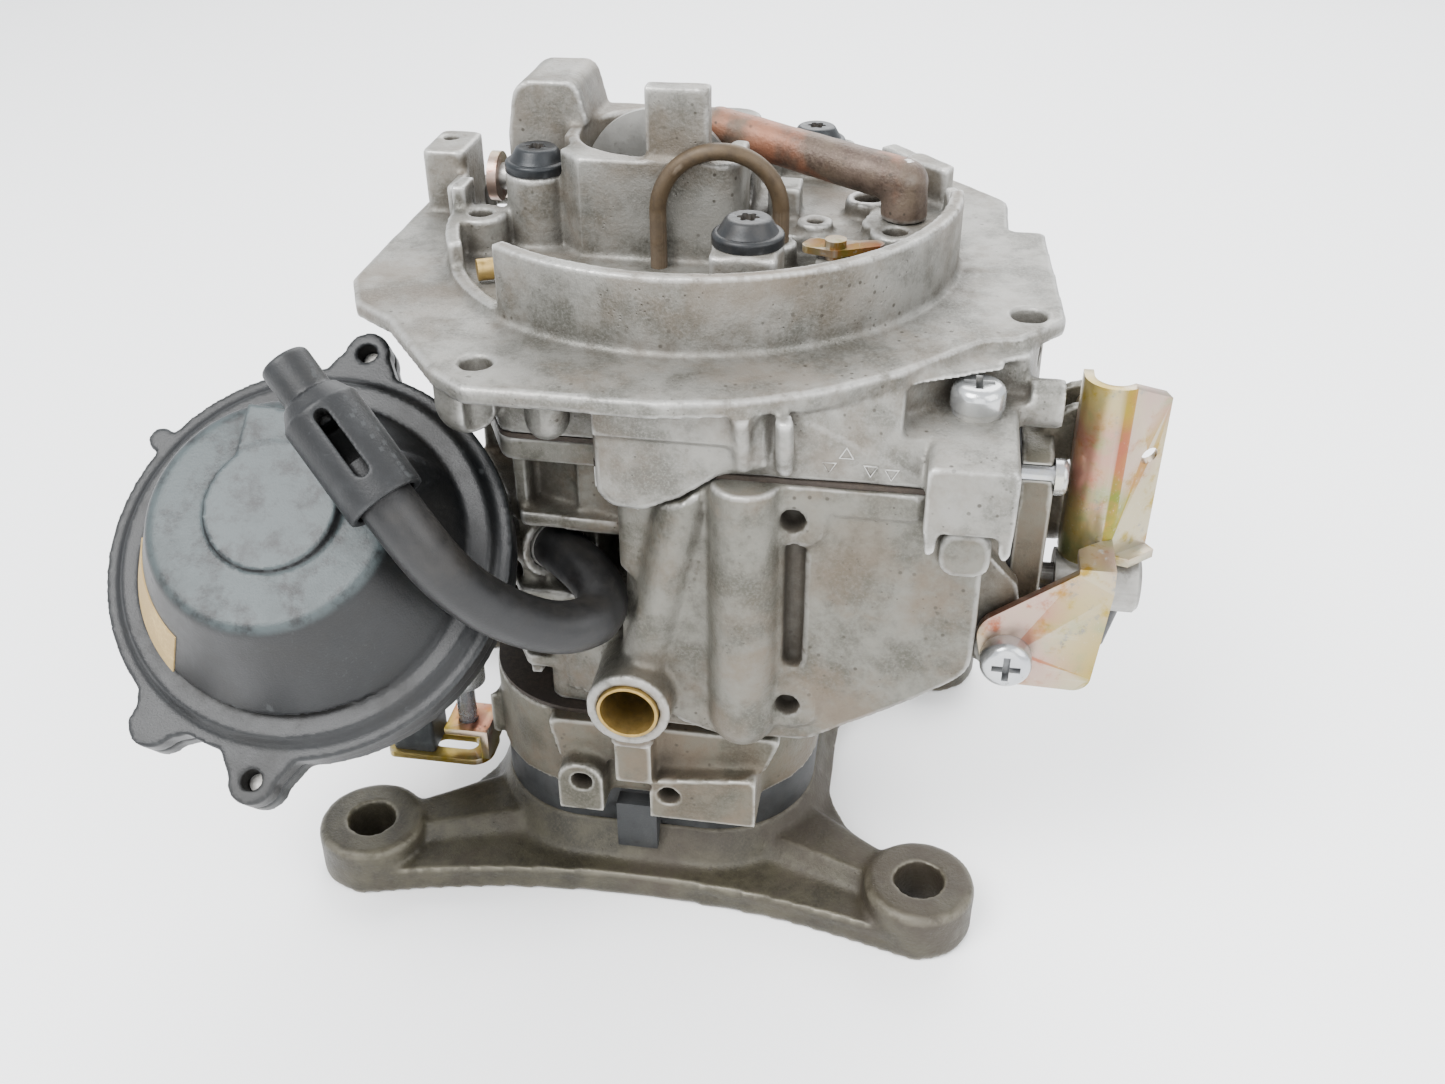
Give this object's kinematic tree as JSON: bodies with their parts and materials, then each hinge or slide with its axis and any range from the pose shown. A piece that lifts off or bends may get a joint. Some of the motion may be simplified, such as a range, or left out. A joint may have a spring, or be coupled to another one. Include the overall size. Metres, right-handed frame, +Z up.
{
  "type": "carburetor",
  "caption": "Two-barrel downdraft carburetor with an automatic choke, float bowl, accelerator pump and four-eared base flange.",
  "frame": {"origin": "centre of the four stud holes, on the underside of the base flange", "axes": "+Z up along the barrels, +X right along the front ears, -Y towards the fuel inlet"},
  "size_m": [0.1757, 0.1479, 0.1434],
  "materials": {
    "upper_casting": "sand-cast light alloy, brown fuel stains and bright worn edges",
    "base_casting": "dull oxidised casting, olive-brown grime",
    "throttle_casting": "die-cast alloy, dirty in the hollows",
    "black_plastic": "moulded phenolic, worn to blue-grey",
    "grey_plastic": "moulded connector plastic",
    "float_plastic": "closed-cell float",
    "rubber": "hose rubber with a dusty sheen",
    "gasket": "pressed fibre, oil-soaked",
    "brass": "machined brass, tarnished",
    "yellow_zinc": "yellow passivated zinc plate, scuffed",
    "bright_zinc": "clear zinc-plated steel",
    "black_steel": "black-oxide screw heads",
    "steel": "plain turned steel",
    "brown_pipe": "varnish-stained steel pipe",
    "paper": "aged paper tag"
  },
  "bodies": {
    "housing": {"adjuster_springs": "steel", "air_horn": "upper_casting", "base_flange": "base_casting", "bimetal_coil": "steel", "booster_venturis": "throttle_casting", "brass_plug": "brass", "cam_pivot": "steel", "choke_cover": "black_plastic", "choke_hose": "rubber", "choke_housing": "black_plastic", "corner_washer": "bright_zinc", "cover_label": "paper", "cover_screws": "steel", "cutoff_solenoid": "steel", "enrichment_lever": "yellow_zinc", "float_pin": "steel", "fuel_inlet": "brass", "horn_gasket": "gasket", "horn_screws": "black_steel", "hose_nipple": "steel", "hose_sleeve": "black_plastic", "insulator": "black_plastic", "lower_bracket": "yellow_zinc", "main_body": "upper_casting", "main_jets": "brass", "needle_seat": "brass", "plug_block": "grey_plastic", "pump_cover": "throttle_casting", "pump_diaphragm": "rubber", "pump_pin": "steel", "pump_screws": "bright_zinc", "pump_spring": "steel", "return_spring": "steel", "solenoid_boot": "rubber", "throttle_body": "throttle_casting", "throttle_gasket": "gasket", "vent_pipe": "brown_pipe", "vent_tube": "upper_casting", "zinc_bracket": "yellow_zinc", "zinc_screws": "bright_zinc"},
    "choke_assembly": {"choke_shaft": "steel", "choke_plate": "steel", "choke_plate_screws": "steel", "choke_lever": "yellow_zinc"},
    "choke_link": {"choke_rod": "steel"},
    "cam": {"fast_idle_cam": "black_plastic"},
    "thermostat": {"thermostat_shaft": "steel"},
    "throttle": {"throttle_shaft": "steel", "throttle_plates": "brass", "throttle_plate_screws": "steel", "throttle_lever": "yellow_zinc", "fast_idle_lever": "yellow_zinc", "shaft_nut": "bright_zinc"},
    "speed_screw": {"idle_speed_screw": "bright_zinc"},
    "mix_screw": {"mixture_screw": "brass"},
    "float": {"fuel_float": "float_plastic"},
    "needle": {"inlet_needle": "brass"},
    "pump_plunger": {"pump_stem": "steel"},
    "pump_arm": {"pump_lever": "yellow_zinc"}
  },
  "joints": [
    {"name": "choke_plate_hinge", "type": "hinge", "parent": "housing", "child": "choke_assembly", "pos_m": [-0.005, 0.022, 0.121], "axis": [1, 0, 0], "range_deg": [0, 80]},
    {"name": "choke_link_hinge", "type": "hinge", "parent": "choke_assembly", "child": "choke_link", "pos_m": [-0.0373, 0.02893, 0.117], "axis": [1, 0, 0], "range_deg": [-81, 1]},
    {"name": "fast_idle_cam_hinge", "type": "hinge", "parent": "housing", "child": "cam", "pos_m": [-0.037, 0.022, 0.06], "axis": [1, 0, 0], "range_deg": [-1, 81]},
    {"name": "thermostat_hinge", "type": "hinge", "parent": "housing", "child": "thermostat", "pos_m": [-0.0531, -0.046, 0.0761], "axis": [-0.04, 0.6303, -0.7753], "range_deg": [-1, 81]},
    {"name": "throttle_hinge", "type": "hinge", "parent": "housing", "child": "throttle", "pos_m": [0, 0.018, 0.03], "axis": [-1, 0, 0], "range_deg": [0, 85], "stiffness_Nm_per_rad": 0.02, "springref_deg": -28.65},
    {"name": "speed_screw_turn", "type": "hinge", "parent": "housing", "child": "speed_screw", "pos_m": [0.0385, -0.014, 0.042], "axis": [0, -1, 0], "range_deg": [-360, 360]},
    {"name": "mixture_screw_turn", "type": "hinge", "parent": "housing", "child": "mix_screw", "pos_m": [-0.016, 0.045, 0.027], "axis": [0, 1, 0], "range_deg": [-360, 360]},
    {"name": "float_hinge", "type": "hinge", "parent": "housing", "child": "float", "pos_m": [0.006, -0.024, 0.084], "axis": [0, 1, 0], "range_deg": [0, 10]},
    {"name": "needle_slide", "type": "slide", "parent": "housing", "child": "needle", "axis": [0, 0, -1], "range_m": [0, 0.0006]},
    {"name": "pump_lever_hinge", "type": "hinge", "parent": "housing", "child": "pump_arm", "pos_m": [0.076, -0.012, 0.097], "axis": [0, 1, 0], "range_deg": [0, 9.2]},
    {"name": "pump_plunger_slide", "type": "slide", "parent": "housing", "child": "pump_plunger", "axis": [-1, 0, 0], "range_m": [0, 0.0031]}
  ],
  "couplings": [
    {"joint": "choke_link_hinge", "follows": "choke_plate_hinge", "ratio": -1},
    {"joint": "fast_idle_cam_hinge", "follows": "choke_plate_hinge", "ratio": 1},
    {"joint": "thermostat_hinge", "follows": "choke_plate_hinge", "ratio": 1},
    {"joint": "needle_slide", "follows": "float_hinge", "m_per_rad": 0.0032},
    {"joint": "pump_lever_hinge", "follows": "throttle_hinge", "ratio": 0.10588},
    {"joint": "pump_plunger_slide", "follows": "throttle_hinge", "m_per_rad": 0.0020118}
  ]
}
